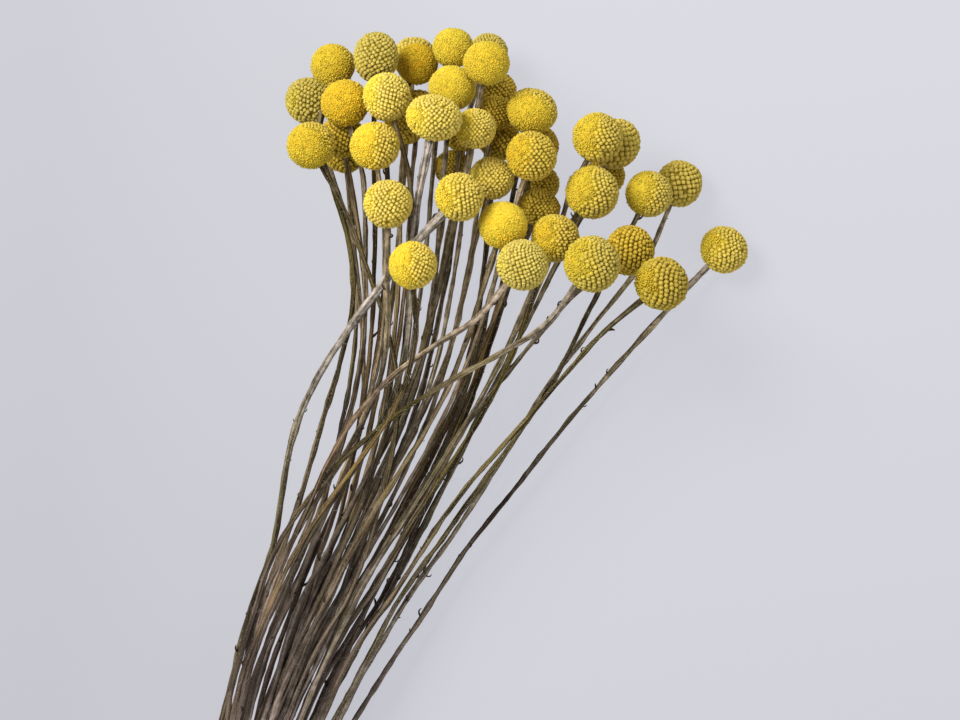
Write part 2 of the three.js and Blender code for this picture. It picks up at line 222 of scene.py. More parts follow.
# %% [markdown]
# ## Reading the heads from the frame
#
# A head is an ellipsoid round the direction of its stem. Measuring its corners along that
# direction and across it gives its centre, its width and its height. A head that is pressed flat
# on the floor has lost its underside, so its centre is measured down from its top.

# %% Heads, each on its own stem
heads = []
for number, name in enumerate(head_nodes, start=1):
    corners, _ = merged_corners(name)
    rough = Vector((corners.min(axis=0) + corners.max(axis=0)) / 2)
    stem = min(stems, key=lambda s: (s["path"][-1] - rough).length)
    axis = (stem["path"][-1] - stem["path"][-2]).normalized()
    aside = axis.cross(Vector((0.0, 0.0, 1.0))).normalized()
    upright = aside.cross(axis).normalized()
    along, across, up = ((corners @ np.array(v)) for v in (axis, aside, upright))
    width = float(across.max() - across.min())
    centre = (
        axis * float(along.max() + along.min()) / 2
        + aside * float(across.max() + across.min()) / 2
        + upright * float(up.max() - width / 2)
    )
    stem["head"] = {
        "node": name,
        "number": number,
        "axis": axis,
        "centre": centre,
        "width": width,
        "height": float(along.max() - along.min()),
    }
    heads.append(stem["head"])
widths = [head["width"] * 1000 for head in heads]
print(f"{len(heads)} heads, {min(widths):.1f} to {max(widths):.1f} mm across")

# %% [markdown]
# ## One closed bud and one open floret
#
# A head is a ball of hundreds of tiny buds in spirals. Where it has come into bloom, each bud has
# opened into a tuft of little points, which look like velvet. Both shapes are repeated thousands
# of times, so they have only a handful of faces and smooth shading does the rest. An attribute
# named "tip" runs from 0 at the root to 1 at the top, for the colour: it lays a painted highlight
# on each tip and painted shade at each root.

# %% Small shapes
BUD_SIDES = 6
BUD_RINGS = [(0.78, -0.4, 0.0), (0.94, 0.24, 0.15), (0.66, 0.8, 0.62)]
POINTS_ROUND = 3  # the points of an open floret: these, and one in the middle
POINT_SIDES = 4
POINT_FOOT = (0.52, 0.3, 0.0)
POINT_AWAY = 0.66  # from the middle to the other points
POINT_TOP = 1.06
POINT_DROP = 0.12  # each point round the middle is lower than the last by this


def store(mesh, name, values, kind="FLOAT", domain="POINT"):
    """Gives a mesh a named attribute."""
    field = {"FLOAT": "value", "FLOAT_VECTOR": "vector", "FLOAT_COLOR": "color"}[kind]
    mesh.attributes.new(name, kind, domain).data.foreach_set(field, np.ravel(values))


def new_mesh_object(name, verts, faces, **point_values):
    """A smooth mesh object from places and faces, with float attributes on its corners."""
    mesh = bpy.data.meshes.new(name)
    mesh.from_pydata([tuple(v) for v in verts], [], faces)
    for key, values in point_values.items():
        store(mesh, key, values)
    mesh.polygons.foreach_set("use_smooth", [True] * len(mesh.polygons))
    mesh.update()
    return new_object(name, mesh)


def faces_between(rings, sides):
    """The faces that join each ring of corners with the next."""
    faces = []
    for ring in range(rings - 1):
        for side in range(sides):
            low, high, step = ring * sides, (ring + 1) * sides, (side + 1) % sides
            faces.append((low + side, low + step, high + step, high + side))
    return faces


def renumbered(faces, start):
    """Faces for a larger mesh, which has this many corners before theirs."""
    return [tuple(start + corner for corner in face) for face in faces]


def turned_shape(rings, sides, top):
    """Rings (radius, height, tip) about Z: flat at the foot, and a point (height, tip) on top."""
    verts, tips = [], []
    for radius, height, tip in rings:
        for k in range(sides):
            turn = 2 * math.pi * k / sides
            verts.append((radius * math.cos(turn), radius * math.sin(turn), height))
            tips.append(tip)
    verts.append((0, 0, top[0]))
    tips.append(top[1])
    last = (len(rings) - 1) * sides
    faces = faces_between(len(rings), sides)
    faces += [(last + k, last + (k + 1) % sides, len(verts) - 1) for k in range(sides)]
    faces.append(tuple(reversed(range(sides))))
    return verts, faces, tips


bud_verts, bud_faces, bud_tips = turned_shape(BUD_RINGS, BUD_SIDES, top=(1.0, 1.0))
bud = new_mesh_object("bud", bud_verts, bud_faces, tip=bud_tips)

bloom_verts, bloom_faces, bloom_tips = [], [], []
for k in range(POINTS_ROUND + 1):
    away = Vector((POINT_AWAY, 0, 0)) if k else Vector((0, 0, 0))
    away.rotate(Matrix.Rotation(2 * math.pi * k / POINTS_ROUND, 3, "Z"))
    top = (POINT_TOP - POINT_DROP * (k % POINTS_ROUND), 1.0)
    verts, faces, tips = turned_shape([POINT_FOOT], POINT_SIDES, top)
    bloom_faces += renumbered(faces, len(bloom_verts))
    bloom_verts += [Vector(v) + away for v in verts]
    bloom_tips += tips
bloom = new_mesh_object("bloom", bloom_verts, bloom_faces, tip=bloom_tips)
print(len(bud.data.polygons), "faces in a bud,", len(bloom.data.polygons), "in an open floret")

# %% [markdown]
# ## A ball of florets with Geometry Nodes
#
# On a real head each new floret turns by the golden angle from the last, which packs them evenly
# and makes the crossing spirals. Geometry Nodes does this from each point's own index: its height
# on the ball and its turn follow from it. A bud, or a bloom where the head is open, is placed on
# each point and looks outwards. A smaller ball inside closes the gaps. No real head is a perfect
# ball, so slow noise pushes the whole surface in and out a little.

# %% A small builder for node trees
class TreeBuilder:
    """Adds nodes to a tree: inputs are given by name, and may be other nodes' outputs."""

    def __init__(self, tree):
        self.tree = tree

    def add(self, kind, inputs=None, **settings):
        node = self.tree.nodes.new(kind)
        for key, value in settings.items():
            setattr(node, key, value)
        for key, value in (inputs or {}).items():
            if isinstance(value, bpy.types.NodeSocket):
                self.tree.links.new(value, node.inputs[key])
            else:
                node.inputs[key].default_value = value
        return node

    def out(self, kind, inputs=None, **settings):
        """The first output of a new node."""
        return self.add(kind, inputs, **settings).outputs[0]

    def math(self, operation, *values):
        return self.out("ShaderNodeMath", dict(enumerate(values)), operation=operation)

    def times(self, value, *others):
        """The product of two or more values."""
        for other in others:
            value = self.math("MULTIPLY", value, other)
        return value

    def plus(self, value, *others):
        """The sum of two or more values."""
        for other in others:
            value = self.math("ADD", value, other)
        return value

    def linear(self, value, factor, offset):
        return self.math("MULTIPLY_ADD", value, factor, offset)

    def ramp(self, value, low, high):
        """0 to 1 as the value goes from low to high."""
        inputs = {"Value": value, "From Min": low, "From Max": high}
        return self.out("ShaderNodeMapRange", inputs)

    def vector(self, operation, *values):
        return self.out("ShaderNodeVectorMath", dict(enumerate(values)), operation=operation)

    def combine(self, *values):
        return self.out("ShaderNodeCombineXYZ", dict(enumerate(values)))

    def scaled(self, vector, value):
        """A vector times a number."""
        return self.vector("MULTIPLY", vector, self.combine(value, value, value))

    def chance(self, low, high, seed, offset):
        """A random number or vector at each point, between low and high."""
        seed = self.plus(seed, offset)
        if isinstance(low, float):
            inputs = {2: low, 3: high, "Seed": seed}
            return self.add("FunctionNodeRandomValue", inputs, data_type="FLOAT").outputs[1]
        inputs = {"Min": low, "Max": high, "Seed": seed}
        return self.out("FunctionNodeRandomValue", inputs, data_type="FLOAT_VECTOR")

    def turned(self, rotation, turn):
        """A rotation turned about its own axes by Euler angles."""
        turn = self.out("FunctionNodeEulerToRotation", {"Euler": turn})
        inputs = {"Rotation": rotation, "Rotate By": turn}
        return self.out("FunctionNodeRotateRotation", inputs, rotation_space="LOCAL")

    def stored(self, geometry, name, value, domain):
        """The geometry with a named float attribute."""
        inputs = {"Geometry": geometry, "Name": name, "Value": value}
        kind = "GeometryNodeStoreNamedAttribute"
        return self.out(kind, inputs, data_type="FLOAT", domain=domain)

    def shape(self, given_object):
        """The geometry of an object input."""
        inputs = {"Object": given_object}
        node = self.add("GeometryNodeObjectInfo", inputs, transform_space="ORIGINAL")
        return node.outputs["Geometry"]

    def instances(self, points, shape, rotation, scale, selection=True):
        inputs = {"Points": points, "Instance": shape, "Rotation": rotation, "Scale": scale}
        return self.out("GeometryNodeInstanceOnPoints", inputs | {"Selection": selection})

    def painted(self, geometry, material):
        """The geometry with its instances made real, in one material."""
        real = self.out("GeometryNodeRealizeInstances", {"Geometry": geometry})
        return self.out("GeometryNodeSetMaterial", {"Geometry": real, "Material": material})

    def joined(self, *parts):
        node = self.add("GeometryNodeJoinGeometry")
        for part in reversed(parts):
            self.tree.links.new(part, node.inputs[0])
        return node.outputs[0]


def new_tree(name, sockets):
    """A geometry tree with named inputs, its builder, its inputs and its output node."""
    tree = bpy.data.node_groups.new(name, "GeometryNodeTree")
    tree.interface.new_socket("Geometry", in_out="OUTPUT", socket_type="NodeSocketGeometry")
    for label, kind in sockets.items():
        tree.interface.new_socket(label, in_out="INPUT", socket_type=f"NodeSocket{kind}")
    build = TreeBuilder(tree)
    return tree, build, build.add("NodeGroupInput").outputs, build.add("NodeGroupOutput")


# %% Points on the ball
GOLDEN_ANGLE = math.pi * (3 - math.sqrt(5))
CROWDING = 1.15  # over 1, florets are smaller at the top of the head
JITTER = 0.024
TIP_LEVEL = 1.007  # where the tips of closed buds are, when the head's skin is at 1
BARE_FOOT = -0.985  # no floret grows lower than this, when the ball goes from -1 to 1
DROPPED = 0.012  # the share of florets that have dropped

ball_tree, build, given, result = new_tree(
    "floret_ball",
    {
        "Geometry": "Geometry",
        "Florets": "Int",
        "Width": "Float",
        "Height": "Float",
        "Open Share": "Float",
        "Open Side Facing Light": "Vector",
        "Floret Width": "Float",
        "Relief": "Float",
        "Seed": "Int",
        "Bud": "Object",
        "Bloom": "Object",
        "Material": "Material",
    },
)
seed = given["Seed"]
index = build.out("GeometryNodeInputIndex")
step = build.math("DIVIDE", build.plus(index, 0.5), given["Florets"])
rise = build.linear(build.math("POWER", step, CROWDING), -2.0, 1.0)
reach = build.math("SUBTRACT", 1.0, build.times(rise, rise))
reach = build.math("SQRT", build.math("MAXIMUM", reach, 0.0))
turn = build.times(index, GOLDEN_ANGLE)
across = build.times(reach, build.math("COSINE", turn))
aside = build.times(reach, build.math("SINE", turn))
jitter = build.chance((-JITTER,) * 3, (JITTER,) * 3, seed, 0.0)
direction = build.vector("ADD", build.combine(across, aside, rise), jitter)
direction = build.vector("NORMALIZE", direction)
half_width = build.times(given["Width"], 0.5)
half = build.combine(half_width, half_width, build.times(given["Height"], 0.5))
root_level = build.math("SUBTRACT", TIP_LEVEL, given["Relief"])
core_half = build.scaled(half, root_level)
root = build.vector("MULTIPLY", direction, core_half)
points = build.out("GeometryNodePoints", {"Count": given["Florets"], "Position": root})

# The stem's end leaves a bare place at the foot of the ball, and a few florets have dropped.
at_foot = build.math("LESS_THAN", rise, BARE_FOOT)
dropped = build.math("LESS_THAN", build.chance(0.0, 1.0, seed, 7.0), DROPPED)
inputs = {"Geometry": points, "Selection": build.math("MAXIMUM", at_foot, dropped)}
points = build.out("GeometryNodeDeleteGeometry", inputs, domain="POINT")

# %% Which florets have opened
LUMPS = 0.07  # how far slow noise moves the surface, in and out together
LUMP_SCALE = 1.3
PATCH_SCALE = 1.6
PATCH_NOISE = 1.3  # how ragged the open patch is
PATCH_EDGE = 0.09  # how far closed and open florets mix at its edge
PATCH_REACH = 2.3  # the level goes over this much from a closed head to an open one
OPENING = (-0.4, 0.2)  # the levels over which the colour of open florets sets in

# The direction is worked out again from the place, because deleting points renumbers them.
place = build.out("GeometryNodeInputPosition")
round_place = build.vector("DIVIDE", place, half)
outward = build.vector("NORMALIZE", build.vector("DIVIDE", round_place, half))


def head_noise(scale, offset):
    """Slow noise over one head, different for each seed."""
    inputs = {"Vector": round_place, "W": build.linear(seed, 1.7, offset), "Scale": scale}
    return build.out("ShaderNodeTexNoise", inputs | {"Detail": 1.0}, noise_dimensions="4D")


# Open florets gather on the side that faces the key light: their stronger yellow is partly painted
# light.
inputs = {0: outward, 1: given["Open Side Facing Light"]}
facing = build.add("ShaderNodeVectorMath", inputs, operation="DOT_PRODUCT").outputs["Value"]
ragged = build.linear(head_noise(PATCH_SCALE, 0.0), PATCH_NOISE, -PATCH_NOISE / 2)
level = build.plus(facing, ragged)
edge = build.linear(given["Open Share"], -PATCH_REACH, PATCH_REACH / 2)
past = build.math("SUBTRACT", level, edge)
openness = build.ramp(past, *OPENING)
mixed = build.plus(past, build.chance(-PATCH_EDGE, PATCH_EDGE, seed, 3.0))
is_open = build.math("GREATER_THAN", mixed, 0.0)
is_closed = build.math("LESS_THAN", is_open, 0.5)
swell = build.linear(head_noise(LUMP_SCALE, 50.0), LUMPS, 1.0 - LUMPS / 2)
lumpy_place = build.scaled(place, swell)

# %% Buds and blooms on the points, and a ball inside
FLORET_LEAN = (0.16, 0.16, 3.14)
BLOOM_GIRTH = 0.14  # how much wider an open floret is
OPEN_CORE = 0.6  # how far the ball inside rises between open florets, of their height
SIZE_VARIES = (0.93, 1.09)
HEIGHT_VARIES = (0.88, 1.12)
TOP_LIMIT = 0.004  # keeps the crowding at the very top finite
CORE_MESH = {"Segments": 24, "Rings": 14, "Radius": 1.0}

facing_out = build.out("FunctionNodeAlignRotationToVector", {"Vector": outward}, axis="Z")
lean = build.chance(tuple(-angle for angle in FLORET_LEAN), FLORET_LEAN, seed, 11.0)
rotation = build.turned(facing_out, lean)
height = build.add("ShaderNodeSeparateXYZ", {0: round_place}).outputs["Z"]
from_top = build.linear(build.math("DIVIDE", height, root_level), -0.5, 0.5)
from_top = build.math("MAXIMUM", from_top, TOP_LIMIT)
crowd = build.math("POWER", from_top, (CROWDING - 1) / (2 * CROWDING))
size = build.times(crowd, math.sqrt(CROWDING), build.chance(*SIZE_VARIES, seed, 23.0))
girth = build.times(size, given["Floret Width"], 0.5, build.linear(is_open, BLOOM_GIRTH, 1.0))
tall = build.times(size, half_width, given["Relief"], build.chance(*HEIGHT_VARIES, seed, 41.0))
scale = build.combine(girth, girth, tall)
points = build.out("GeometryNodeSetPosition", {"Geometry": points, "Position": lumpy_place})


def florets_of(kind, selection):
    placed = build.instances(points, build.shape(given[kind]), rotation, scale, selection)
    placed = build.stored(placed, "own", build.chance(0.0, 1.0, seed, 53.0), "INSTANCE")
    return build.stored(placed, "open", openness, "INSTANCE")


core = build.out("GeometryNodeMeshUVSphere", CORE_MESH)
core = build.out("GeometryNodeTransform", {"Geometry": core, "Scale": core_half})
for name, value in (("tip", 0.0), ("own", 0.0), ("open", openness)):
    core = build.stored(core, name, value, "POINT")
raised = build.linear(build.times(openness, given["Relief"]), OPEN_CORE, 1.0)
raised = build.scaled(lumpy_place, raised)
core = build.out("GeometryNodeSetPosition", {"Geometry": core, "Position": raised})
core = build.out("GeometryNodeSetShadeSmooth", {"Geometry": core})
whole = build.joined(core, florets_of("Bud", is_closed), florets_of("Bloom", is_open))
ball_tree.links.new(build.painted(whole, given["Material"]), result.inputs[0])
print(len(ball_tree.nodes), "nodes in the floret tree")

# %% [markdown]
# ## The florets' finish
#
# Dried florets are quite matt, like felt. A bud is ochre where it meets its neighbours and pale
# at its tip: partly its own colour, partly painted shade low between the buds and a painted
# highlight on the tip. An open floret is a strong yellow all over, with loose pollen. Open florets
# lie on the side of each head that faces the key light, so their stronger yellow is partly painted
# light. The mix follows the "tip" and "open" attributes. Two more say how green or golden the
# whole head is and how bright; the brightness is partly painted shade on heads that lie in shade.
# Fine noise on the object's own coordinates breaks up the colour and roughens the surface.

# %% A builder for materials
BUMP_STRENGTH = 0.7


class MaterialBuilder(TreeBuilder):
    def __init__(self, name, roughness, specular=0.25, sheen=0.0):
        self.material = bpy.data.materials.new(name)
        self.material.use_nodes = True
        super().__init__(self.material.node_tree)
        self.shader = self.tree.nodes["Principled BSDF"]
        self.shader.inputs["Roughness"].default_value = roughness
        self.shader.inputs["Specular IOR Level"].default_value = specular
        self.shader.inputs["Sheen Weight"].default_value = sheen
        self.shader.inputs["Sheen Roughness"].default_value = 0.5

    def place(self):
        """The place on the object."""
        return self.add("ShaderNodeTexCoord").outputs["Object"]

    def attribute(self, name):
        return self.add("ShaderNodeAttribute", attribute_name=name).outputs["Fac"]

    def noise(self, place, scale, detail=2.0):
        inputs = {"Vector": place, "Scale": scale, "Detail": detail}
        return self.out("ShaderNodeTexNoise", inputs)

    def spots(self, place, scale, detail, low, high):
        """Noise as spots: 0 where it is lower than low, and 1 where it is higher than high."""
        return self.ramp(self.noise(place, scale, detail), low, high)

    def mix(self, factor, one, two):
        """A colour between two: each is a linear (r, g, b) or another node's output."""
        pair = (c if isinstance(c, bpy.types.NodeSocket) else (*c, 1.0) for c in (one, two))
        inputs = {0: factor, **dict(zip((6, 7), pair))}
        return self.add("ShaderNodeMix", inputs, data_type="RGBA").outputs[2]

    def layered(self, colour, *layers):
        """A colour with layers over it: each is how much there is of it, and its colour."""
        for amount, over in layers:
            colour = self.mix(amount, colour, over)
        return colour

    def finish(self, colour, height, depth):
        """Gives the material its colour, and a relief of the given depth in metres."""
        self.tree.links.new(colour, self.shader.inputs["Base Color"])
        inputs = {"Height": height, "Distance": depth, "Strength": BUMP_STRENGTH}
        self.tree.links.new(self.out("ShaderNodeBump", inputs), self.shader.inputs["Normal"])


# %% Floret material
build = MaterialBuilder("floret_yellow", 0.85, specular=0.12)
floret_yellow = build.material
here = build.place()
tip, opened, own, tint, bright = map(build.attribute, ("tip", "open", "own", "tint", "bright"))
speck = build.spots(here, 1500.0, 3.0, 0.35, 0.65)
cloud = build.spots(here, 110.0, 2.0, 0.38, 0.62)
grain = build.spots(here, 850.0, 1.0, 0.5, 0.68)
painted_pit_shade = build.spots(here, 480.0, 1.0, 0.7, 0.76)
# Each pair of colours is of a head that dried green, and of a golden one.
# Tips are lighter than sides: partly the florets' own colour, partly a painted highlight on each
# tip and painted shade low down between florets.
bud_tip_and_highlight = build.mix(tint, (0.84, 0.7, 0.195), (0.84, 0.575, 0.055))
bud_side_and_shade = build.mix(tint, (0.58, 0.455, 0.06), (0.36, 0.21, 0.006))
bud_colour = build.mix(build.ramp(tip, 0.1, 0.85), bud_side_and_shade, bud_tip_and_highlight)
bloom_tip_and_highlight = build.mix(tint, (0.96, 0.86, 0.15), (0.98, 0.7, 0.05))
bloom_side_and_shade = build.mix(tint, (0.9, 0.74, 0.05), (0.9, 0.55, 0.015))
bloom_colour = build.layered(
    build.mix(tip, bloom_side_and_shade, bloom_tip_and_highlight),
    (build.times(grain, 0.35), (0.6, 0.42, 0.015)),  # ochre between the points
    (build.times(build.ramp(own, 0.8, 1.0), tint), (0.92, 0.48, 0.02)),  # a few orange florets
    # Painted shade for small holes among the open florets, which are not modelled.
    (build.times(painted_pit_shade, 0.7), (0.2, 0.1, 0.01)),  # dark holes
)
floret_colour = build.layered(
    build.mix(opened, bud_colour, bloom_colour),
    (build.times(cloud, 0.16), (0.8, 0.62, 0.06)),
    (build.times(speck, 0.15), (0.5, 0.35, 0.03)),
)
# Each head's brightness: partly its own tone, partly painted shade on heads that lie in shade.
bright = build.times(bright, build.linear(own, 0.2, 0.9))
floret_colour = build.out("ShaderNodeHueSaturation", {"Color": floret_colour, "Value": bright})
build.finish(floret_colour, speck, 0.0003)
print("florets:", len(build.tree.nodes), "nodes")

# %% [markdown]
# ## Growing the heads
#
# Each head is grown once at the origin by the tree, turned to stand on its stem's end, and moved
# into place by its corners, so that its object stays unturned at the origin. A head that carries
# the bunch is pressed: what would reach below the floor is laid flat on it. Heads differ in
# ripeness, from pale green-yellow to golden, and in how far they have opened.

# %% Run a tree on a carrier object
def run_tree(carrier, tree, values):
    """The tree's result as a new plain mesh; values are given by the inputs' names."""
    modifier = carrier.modifiers.new(tree.name, "NODES")
    modifier.node_group = tree
    for item in tree.interface.items_tree:
        if item.in_out == "INPUT" and item.name in values:
            modifier[item.identifier] = values[item.name]
    bpy.context.view_layer.update()
    evaluated = carrier.evaluated_get(bpy.context.evaluated_depsgraph_get())
    mesh = bpy.data.meshes.new_from_object(evaluated)
    carrier.modifiers.remove(modifier)
    return mesh


# %% A piece that rests on the floor
FLOOR_GAP = 0.0001


def new_piece(name, mesh):
    """A piece from a mesh: what would reach below the floor is laid flat on it."""
    places = corner_places(mesh)
    places[:, 2] = np.maximum(places[:, 2], FLOOR_GAP)
    mesh.vertices.foreach_set("co", places.ravel())
    mesh.update()
    mesh.calc_loop_triangles()
    return new_object(name, mesh)


# %% Ripeness of each head
# The open sides all face the key light, so the stronger yellow of open florets lies on each head's
# lit side: partly real bloom, partly painted light.
LEFT = Vector((-0.93, 0.1, 0.35)).normalized()
FACE = Vector((-0.35, 0.05, 0.93)).normalized()
LOW = Vector((-0.6, -0.45, 0.66)).normalized()
# How bright a head is: partly its own tone, partly painted shade on heads that lie in shade, such
# as 5.
KINDS = [  # how golden, share of open florets, where they are, how bright, florets, and which heads
    (0.04, 0.0, LEFT, 0.9, 560, (35,)),  # cream
    (0.15, 0.0, LEFT, 0.74, 390, (1, 3, 7)),  # dull cream
    (0.25, 0.05, LEFT, 1.03, 410, (30, 33)),  # straw
    (0.2, 0.18, LEFT, 1.04, 490, (10, 13)),  # cream with a lemon edge
    (0.35, 0.22, LEFT, 0.95, 420, (14, 31, 40)),  # straw with a lemon edge
    (0.25, 0.25, LEFT, 0.77, 500, (37,)),
    (0.4, 0.02, LEFT, 0.84, 270, (4, 43, 46)),  # green-gold, with large buds
    (0.45, 0.37, LEFT, 1.0, 470, (19, 34)),  # yellow, half open
    (0.45, 0.37, LEFT, 0.84, 430, (41, 42, 45)),
    (0.6, 0.26, LEFT, 0.86, 440, (26, 36)),  # mustard
    (0.6, 0.2, LEFT, 0.74, 370, (39,)),
    (0.45, 0.38, FACE, 0.82, 480, (2,)),  # yellow, open in the middle
    (0.45, 0.5, LOW, 0.78, 500, (16,)),
    (0.35, 0.75, FACE, 0.86, 540, (6,)),  # lemon, wide open
    (0.35, 0.75, LOW, 0.96, 600, (11,)),
    (0.4, 0.85, FACE, 1.0, 600, (32,)),
    (0.5, 0.65, FACE, 0.87, 520, (8,)),  # golden, nearly all open
    (0.45, 0.5, LOW, 0.88, 580, (24,)),
    (0.85, 0.42, FACE, 0.86, 470, (9,)),  # orange
    (0.8, 0.6, FACE, 0.76, 500, (5,)),
    (0.85, 0.03, LEFT, 0.82, 370, (12, 15, 17, 18, 20, 21, 22)),  # old gold
    (0.85, 0.03, LEFT, 0.82, 370, (23, 25, 27, 28, 29, 38, 44)),
]
GOLD_VARIES = 0.07
SHARE_VARIES = 0.03
BRIGHT_VARIES = (0.96, 1.04)

rng = np.random.default_rng(46)
ripeness = {}
for gold, share, side, bright, florets, numbers in KINDS:
    for number in numbers:
        gold_here = gold + rng.uniform(-GOLD_VARIES, GOLD_VARIES)
        share_here = share + rng.uniform(-SHARE_VARIES, SHARE_VARIES)
        bright_here = bright * rng.uniform(*BRIGHT_VARIES)
        ripeness[number] = (gold_here, share_here, side, bright_here, florets)
print(len(ripeness), "heads are given a ripeness")

# %% Heads
FLORET_AREA = 0.866  # a floret's share of the skin, in squares of the florets' spacing
FLORET_WIDTH = 1.06  # of the spacing
FLORET_HEIGHT = 1.31 / 2  # of the floret's width
FLORETS_VARY = (0.92, 1.08)

carrier = new_mesh_object("carrier", [(0, 0, 0)], [])
triangles_in_heads = 0
for head in heads:
    tint, share, side, bright, florets = ripeness[head["number"]]
    florets = int(florets * rng.uniform(*FLORETS_VARY))
    skin = math.pi / florets / FLORET_AREA * head["width"] * head["height"]
    floret_width = FLORET_WIDTH * math.sqrt(skin)
    turn = Vector((0, 0, 1)).rotation_difference(head["axis"])
    values = {
        "Florets": florets,
        "Width": head["width"],
        "Height": head["height"],
        "Open Share": share,
        "Open Side Facing Light": turn.inverted() @ side,
        "Floret Width": floret_width,
        "Relief": 2 * FLORET_HEIGHT * floret_width / head["width"],
        "Seed": head["number"],
        "Bud": bud,
        "Bloom": bloom,
        "Material": floret_yellow,
    }
    mesh = run_tree(carrier, ball_tree, values)
    mesh.transform(Matrix.Translation(head["centre"]) @ turn.to_matrix().to_4x4())
    for key, value in (("tint", tint), ("bright", bright)):
        store(mesh, key, [value] * len(mesh.vertices))
    piece = new_piece(f"head_{head['number']:02d}", mesh)
    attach(piece, "root")
    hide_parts(head["node"])
    triangles_in_heads += len(mesh.loop_triangles)
print(triangles_in_heads, "triangles in the heads")

# %% [markdown]
# ## Stems
#
# A dried stem is a thin, grooved rod with grey wool on it, never quite straight. A smooth curve
# runs through the points that were read from the frame, and small wobbles are added to it. Round
# it goes a tube that swells a little at each old leaf joint and is thickest with wool under the
# head. The tube carries its own UV map, round and along, so that grooves follow every bend.

# %% Smooth curves
def blended(points, knots, depth, t):
    """One round of blending in a curve through four points: it leaves one point fewer."""
    spans = [(knots[i], knots[i + depth]) for i in range(4 - depth)]
    pairs = zip(points, points[1:], spans)
    return [one.lerp(two, (t - low) / (high - low)) for one, two, (low, high) in pairs]


def smooth_path(points, spacing):
    """Points about a spacing apart on a centripetal Catmull-Rom curve through the given ones."""
    points = [points[0] * 2 - points[1], *points, points[-1] * 2 - points[-2]]
    path = []
    for four in zip(points, points[1:], points[2:], points[3:]):
        knots = [0.0]
        for one, two in zip(four, four[1:]):
            knots.append(knots[-1] + max((two - one).length, 1e-6) ** 0.5)
        steps = max(1, round((four[2] - four[1]).length / spacing))
        for k in range(steps):
            t = knots[1] + (knots[2] - knots[1]) * k / steps
            one, two = blended(blended(four, knots, 1, t), knots, 2, t)
            # The last round runs between the two middle knots.
            path.append(one.lerp(two, (t - knots[1]) / (knots[2] - knots[1])))
    return [*path, points[-2]]


def relaxed(points, held):
    """The points with bends half evened out; the first and last few are held."""
    evened = [(a + c) / 2 for a, c in zip(points, points[2:])]
    free = range(held[0], len(points) - held[1])
    return [p.lerp(evened[k - 1], 0.5) if k in free else p for k, p in enumerate(points)]


def walk(path):
    """Along a path: the length so far, the heading and two directions across it."""
    normal = (path[1] - path[0]).orthogonal().normalized()
    length = 0.0
    for k, point in enumerate(path):
        ahead = (path[min(k + 1, len(path) - 1)] - path[max(k - 1, 0)]).normalized()
        normal = (normal - ahead * normal.dot(ahead)).normalized()
        length += (point - path[k - 1]).length if k else 0.0
        yield length, ahead, normal, ahead.cross(normal)


# %% Tubes
def tube(path, radii, sides, section=None):
    """A closed tube along a path: corners, faces, face corners' UVs, lengths and headings."""
    section = section or [1.0] * sides
    verts, lengths, headings, uvs = [], [], [], []
    for point, radius, (length, ahead, normal, binormal) in zip(path, radii, walk(path)):
        for side in range(sides):
            turn = 2 * math.pi * side / sides
            reach = radius * section[side]
            on_skin = point + normal * (reach * math.cos(turn))
            verts.append(on_skin + binormal * (reach * math.sin(turn)))
            lengths.append(length)
            headings.append(ahead)
    for foot, top in zip(lengths[::sides], lengths[sides::sides]):
        for side in range(sides):
            left, right = side / sides, (side + 1) / sides
            uvs += [(left, foot), (right, foot), (right, top), (left, top)]
    last = (len(path) - 1) * sides
    faces = faces_between(len(path), sides)
    faces += [tuple(reversed(range(sides))), tuple(last + side for side in range(sides))]
    uvs += [(0.0, 0.0)] * sides + [(0.0, lengths[-1])] * sides
    return verts, faces, uvs, lengths, headings


def tubes_object(name, tubes, **point_values):
    """One mesh object of several tubes, with their UV map and headings."""
    verts, faces, uvs, headings = [], [], [], []
    for tube_verts, tube_faces, tube_uvs, _, tube_headings in tubes:
        faces += renumbered(tube_faces, len(verts))
        verts += tube_verts
        uvs += tube_uvs
        headings += tube_headings
    made = new_mesh_object(name, verts, faces, **point_values)
    made.data.uv_layers.new(name="round_and_along").data.foreach_set("uv", np.ravel(uvs))
    store(made.data, "heading", headings, "FLOAT_VECTOR")
    return made


# %% One stem
MM = 0.001
STEM_SPACING = 0.004
STEM_SIDES = 12
STEM_THICKNESS = 0.96  # of the frame's stem, at the cut end
STEM_TAPER = 0.26
STEM_END = 0.4  # of the head's height: how far below the head's centre its stem ends
HELD = (3, 2)  # the first and last few points that keep the frame's places
ROUGHNESS = 0.00007
RIDGE, RIDGE_VARIES = 0.07, 0.05  # of the radius: every second side stands out
FLOOR_HOLD = 1.12  # of the radius: a stem's centre line stays this high
JOINTS, JOINT_SWELL, JOINT_NARROWNESS = 8, 0.22, 0.9
KINKS, KINK_SIZE, KINK_REACH = 3, 0.0007, 5
KINK_PLACES = (0.3, 0.95)  # the share of the way up where kinks can be
TIE_HOLD = 0.04  # a stem's waves grow to their full size this far from the tie,
HEAD_HOLD = 8  # and shrink again over this many points below the head
SLACK_BELOW, SLACK_EASE = 0.66, 0.14  # stems wind more below this share of their way
WAVES = {  # size in millimetres, speed, and which of the stem's phases
    "sway": ((0.2, 70, 0), (0.08, 210, 1)),
    "lift": ((0.2, 64, 2), (0.08, 190, 3)),
    "slack sway": ((1.3, 36, 1), (0.5, 85, 2)),
    "slack lift": ((0.9, 33, 3),),
    "ripple": ((0.06, 0.8, 4), (0.05, 1.9, 5)),  # of the radius
}
NECK, NECK_WOOL, NECK_CURVE = 0.78, 0.16, 1.5  # every stem is woollier above this share
